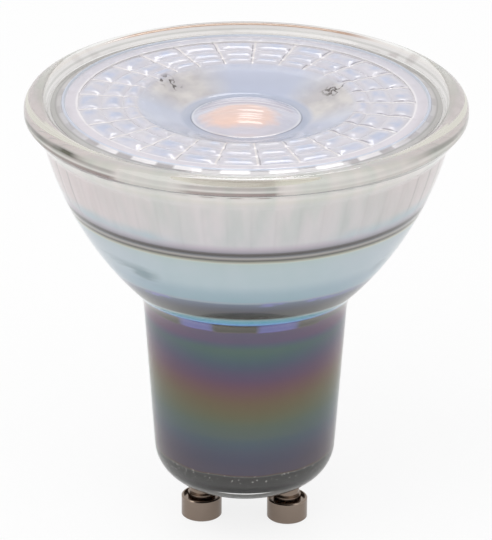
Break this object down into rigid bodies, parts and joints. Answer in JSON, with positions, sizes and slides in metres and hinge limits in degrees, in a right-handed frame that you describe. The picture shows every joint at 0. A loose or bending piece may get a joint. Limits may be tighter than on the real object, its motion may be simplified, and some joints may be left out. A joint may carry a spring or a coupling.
{
  "type": "reflector spot lamp",
  "caption": "Mains reflector spot lamp: pressed glass body with a two-pin twist base, faceted clear lens, light source on a cooling dish and a driver in the neck.",
  "frame": {"origin": "on the lamp's axis, level with the flat ends of the two pin heads that it stands on", "axes": "+Z along the lamp's axis, from the pins to the lens; X through both pins"},
  "size_m": [0.05, 0.05, 0.0525],
  "materials": {
    "glass": "clear pressed glass with a thin colour-shifting coat inside",
    "clear_plastic": "clear moulded acrylic",
    "clear_sealant": "clear silicone",
    "spreader_aluminium": "pressed, satin",
    "pad_silicone": "soft silicone pad",
    "white_board": "white solder mask on aluminium",
    "ceramic": "ceramic carrier",
    "white_silicone": "white silicone bead",
    "phosphor": "orange phosphor in silicone",
    "dark_sleeve": "dark grey moulded plastic",
    "circuit_board": "green solder mask",
    "black_epoxy": "moulded epoxy package",
    "can_aluminium": "drawn can",
    "film_box": "yellow moulded box",
    "lacquer": "blue lacquer",
    "resistor_chip": "chip resistor",
    "ferrite": "sintered ferrite",
    "copper_wire": "enamelled copper wire",
    "pin_metal": "nickel-plated turned brass, brownish grey",
    "tinned_wire": "tinned copper",
    "red_insulation": "red lead insulation",
    "black_insulation": "black lead insulation"
  },
  "bodies": {
    "root": {"glass_body": "glass", "lens": "clear_plastic", "lens_seal": "clear_sealant", "heat_spreader": "spreader_aluminium", "thermal_pad": "pad_silicone", "led_board": "white_board", "led_substrate": "ceramic", "led_dam": "white_silicone", "led_phosphor": "phosphor", "driver_sleeve": "dark_sleeve", "driver_board": "circuit_board", "bridge_rectifier": "black_epoxy", "output_diode": "black_epoxy", "film_capacitor": "film_box", "driver_chip": "black_epoxy", "sense_resistors": "resistor_chip", "electrolytic_capacitor": "can_aluminium", "fusible_resistor": "lacquer", "inductor_core": "ferrite", "inductor_winding": "copper_wire", "contact_pin_left": "pin_metal", "contact_pin_right": "pin_metal", "pin_eyelet_left": "pin_metal", "pin_eyelet_right": "pin_metal", "mains_lead_left": "tinned_wire", "mains_lead_right": "tinned_wire", "led_lead_red": "red_insulation", "led_lead_black": "black_insulation"}
  },
  "joints": []
}
